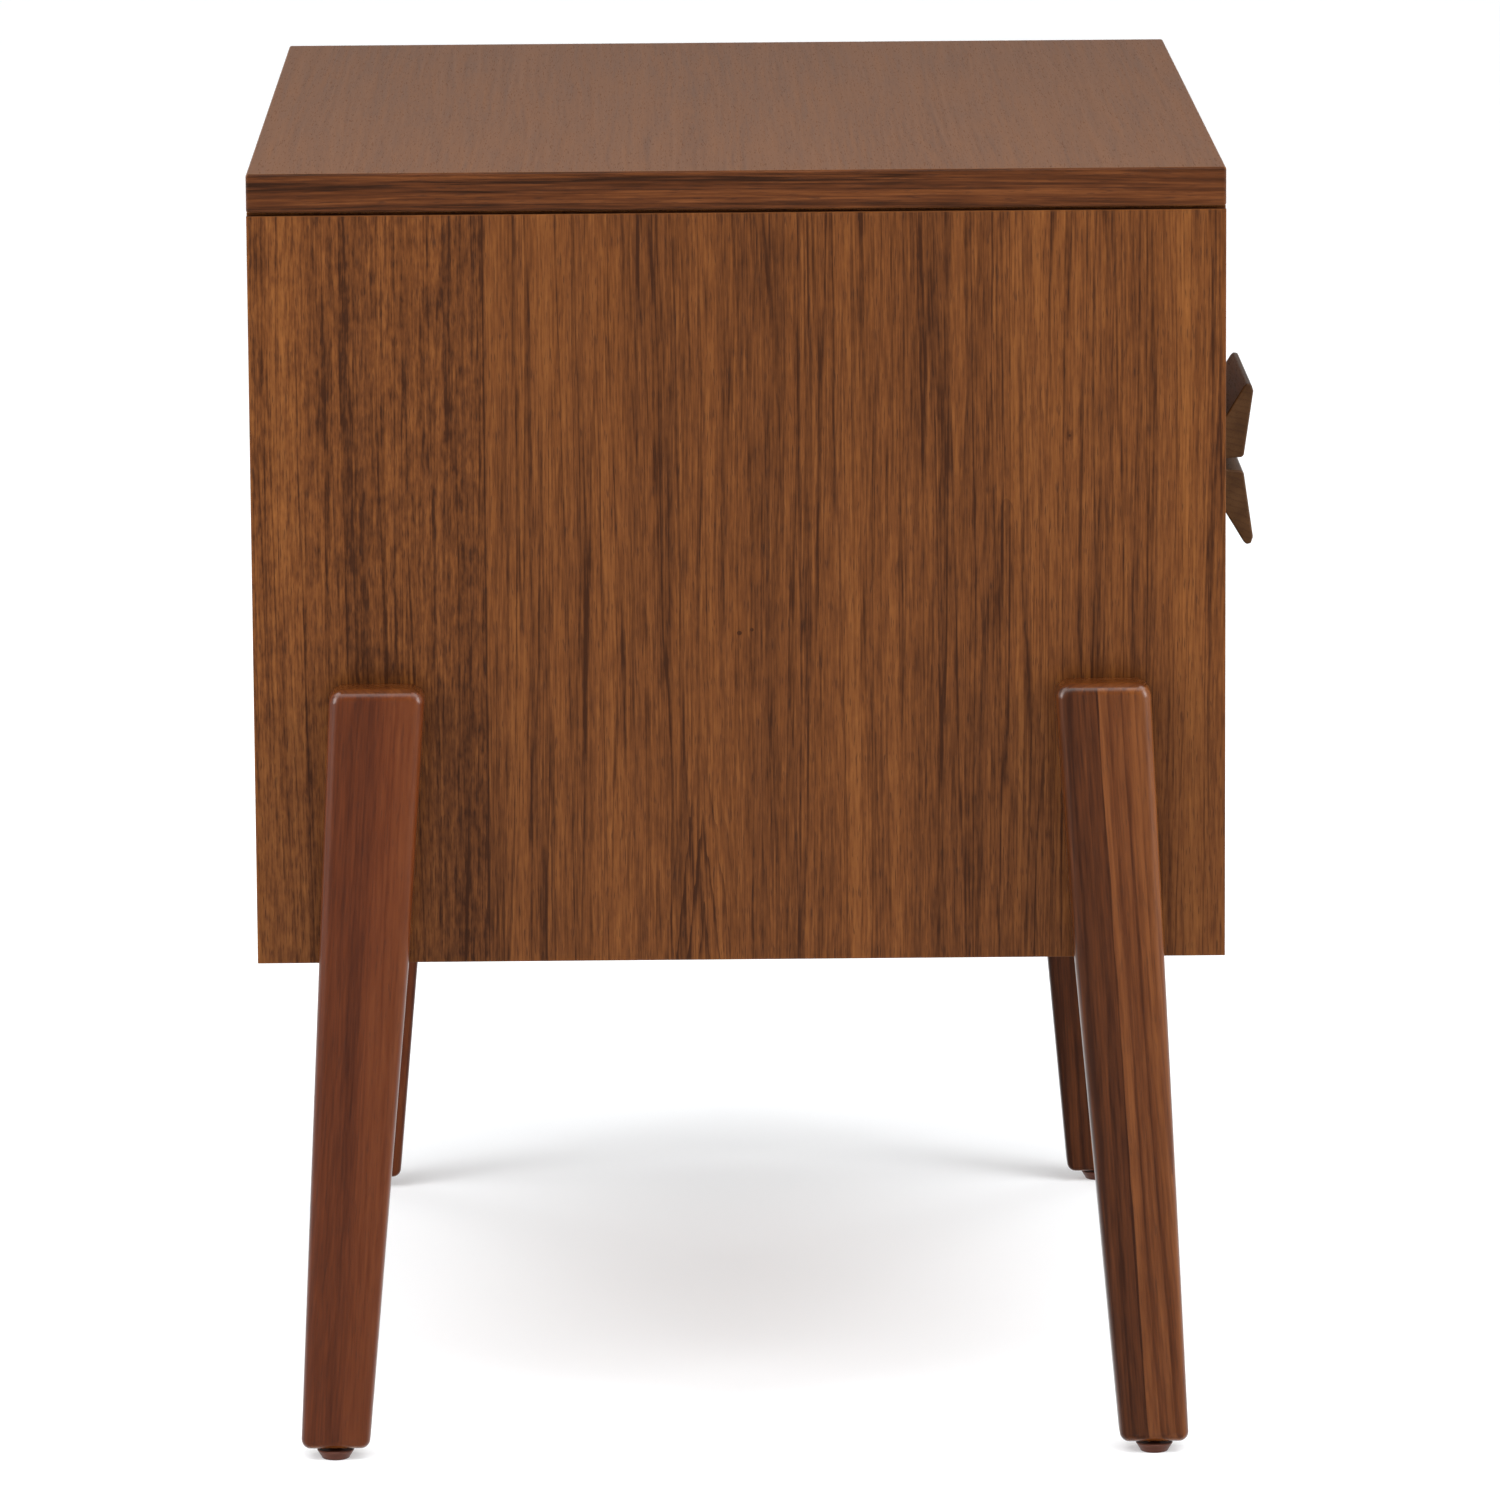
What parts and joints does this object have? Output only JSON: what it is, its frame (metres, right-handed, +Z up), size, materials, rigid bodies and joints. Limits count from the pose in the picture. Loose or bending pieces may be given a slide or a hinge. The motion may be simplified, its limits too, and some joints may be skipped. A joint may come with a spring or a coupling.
{
  "type": "side table with two drawers",
  "caption": "Box-shaped walnut side table on tapered legs fixed to its sides, with stacked drawers on ball-bearing slides, angled wooden pulls and levelling feet.",
  "frame": {"origin": "on the floor, under the middle of the outline (pulls included)", "axes": "+X along the width to the right-hand side, -Y out of the drawer fronts, +Z up"},
  "size_m": [0.6, 0.4766, 0.603],
  "materials": {
    "veneer_top": "satin walnut veneer",
    "veneer_case": "satin walnut veneer, grain upright",
    "leg_wood": "satin solid wood, reddish walnut stain",
    "pull_wood": "dark solid walnut",
    "box_wood": "clear lacquered pale wood",
    "box_bottom_board": "thin pale plywood",
    "back_board": "thin walnut-faced board",
    "slide_steel": "zinc-plated sheet steel",
    "fastener_steel": "zinc-plated steel",
    "glide_plastic": "reddish brown moulded plastic"
  },
  "bodies": {
    "case": {"top_panel": "veneer_top", "left_side_panel": "veneer_case", "right_side_panel": "veneer_case", "bottom_panel": "veneer_case", "back_panel": "back_board", "top_front_rail": "veneer_case", "top_rear_rail": "veneer_case", "mid_rail": "veneer_case", "front_left_leg": "leg_wood", "front_left_upper_leg_bolt": "fastener_steel", "front_left_lower_leg_bolt": "fastener_steel", "front_left_glide_insert": "fastener_steel", "rear_left_leg": "leg_wood", "rear_left_upper_leg_bolt": "fastener_steel", "rear_left_lower_leg_bolt": "fastener_steel", "rear_left_glide_insert": "fastener_steel", "front_right_leg": "leg_wood", "front_right_upper_leg_bolt": "fastener_steel", "front_right_lower_leg_bolt": "fastener_steel", "front_right_glide_insert": "fastener_steel", "rear_right_leg": "leg_wood", "rear_right_upper_leg_bolt": "fastener_steel", "rear_right_lower_leg_bolt": "fastener_steel", "rear_right_glide_insert": "fastener_steel", "upper_left_slide_case_member": "slide_steel", "upper_right_slide_case_member": "slide_steel", "lower_left_slide_case_member": "slide_steel", "lower_right_slide_case_member": "slide_steel"},
    "upper_drawer": {"upper_drawer_front": "veneer_case", "upper_drawer_box_front": "box_wood", "upper_drawer_left_side": "box_wood", "upper_drawer_right_side": "box_wood", "upper_drawer_back": "box_wood", "upper_drawer_bottom": "box_bottom_board", "upper_pull": "pull_wood", "upper_pull_left_screw": "fastener_steel", "upper_pull_right_screw": "fastener_steel", "upper_left_slide_drawer_member": "slide_steel", "upper_right_slide_drawer_member": "slide_steel"},
    "upper_left_slide_middle": {"upper_left_slide_middle_member": "slide_steel"},
    "upper_right_slide_middle": {"upper_right_slide_middle_member": "slide_steel"},
    "lower_drawer": {"lower_drawer_front": "veneer_case", "lower_drawer_box_front": "box_wood", "lower_drawer_left_side": "box_wood", "lower_drawer_right_side": "box_wood", "lower_drawer_back": "box_wood", "lower_drawer_bottom": "box_bottom_board", "lower_pull": "pull_wood", "lower_pull_left_screw": "fastener_steel", "lower_pull_right_screw": "fastener_steel", "lower_left_slide_drawer_member": "slide_steel", "lower_right_slide_drawer_member": "slide_steel"},
    "lower_left_slide_middle": {"lower_left_slide_middle_member": "slide_steel"},
    "lower_right_slide_middle": {"lower_right_slide_middle_member": "slide_steel"},
    "front_left_glide": {"front_left_glide": "glide_plastic"},
    "rear_left_glide": {"rear_left_glide": "glide_plastic"},
    "front_right_glide": {"front_right_glide": "glide_plastic"},
    "rear_right_glide": {"rear_right_glide": "glide_plastic"}
  },
  "joints": [
    {"name": "upper_drawer_slide", "type": "slide", "parent": "case", "child": "upper_drawer", "axis": [0, -1, 0], "range_m": [0, 0.33]},
    {"name": "upper_left_slide_middle_travel", "type": "slide", "parent": "case", "child": "upper_left_slide_middle", "axis": [0, -1, 0], "range_m": [0, 0.165]},
    {"name": "upper_right_slide_middle_travel", "type": "slide", "parent": "case", "child": "upper_right_slide_middle", "axis": [0, -1, 0], "range_m": [0, 0.165]},
    {"name": "lower_drawer_slide", "type": "slide", "parent": "case", "child": "lower_drawer", "axis": [0, -1, 0], "range_m": [0, 0.33]},
    {"name": "lower_left_slide_middle_travel", "type": "slide", "parent": "case", "child": "lower_left_slide_middle", "axis": [0, -1, 0], "range_m": [0, 0.165]},
    {"name": "lower_right_slide_middle_travel", "type": "slide", "parent": "case", "child": "lower_right_slide_middle", "axis": [0, -1, 0], "range_m": [0, 0.165]},
    {"name": "front_left_glide_turn", "type": "hinge", "parent": "case", "child": "front_left_glide", "pos_m": [-0.29015, -0.17845, 0], "axis": [0, 0, 1], "continuous": true},
    {"name": "rear_left_glide_turn", "type": "hinge", "parent": "case", "child": "rear_left_glide", "pos_m": [-0.29015, 0.20495, 0], "axis": [0, 0, 1], "continuous": true},
    {"name": "front_right_glide_turn", "type": "hinge", "parent": "case", "child": "front_right_glide", "pos_m": [0.29015, -0.17845, 0], "axis": [0, 0, 1], "continuous": true},
    {"name": "rear_right_glide_turn", "type": "hinge", "parent": "case", "child": "rear_right_glide", "pos_m": [0.29015, 0.20495, 0], "axis": [0, 0, 1], "continuous": true}
  ],
  "couplings": [
    {"joint": "upper_left_slide_middle_travel", "follows": "upper_drawer_slide", "ratio": 0.5},
    {"joint": "upper_right_slide_middle_travel", "follows": "upper_drawer_slide", "ratio": 0.5},
    {"joint": "lower_left_slide_middle_travel", "follows": "lower_drawer_slide", "ratio": 0.5},
    {"joint": "lower_right_slide_middle_travel", "follows": "lower_drawer_slide", "ratio": 0.5}
  ]
}
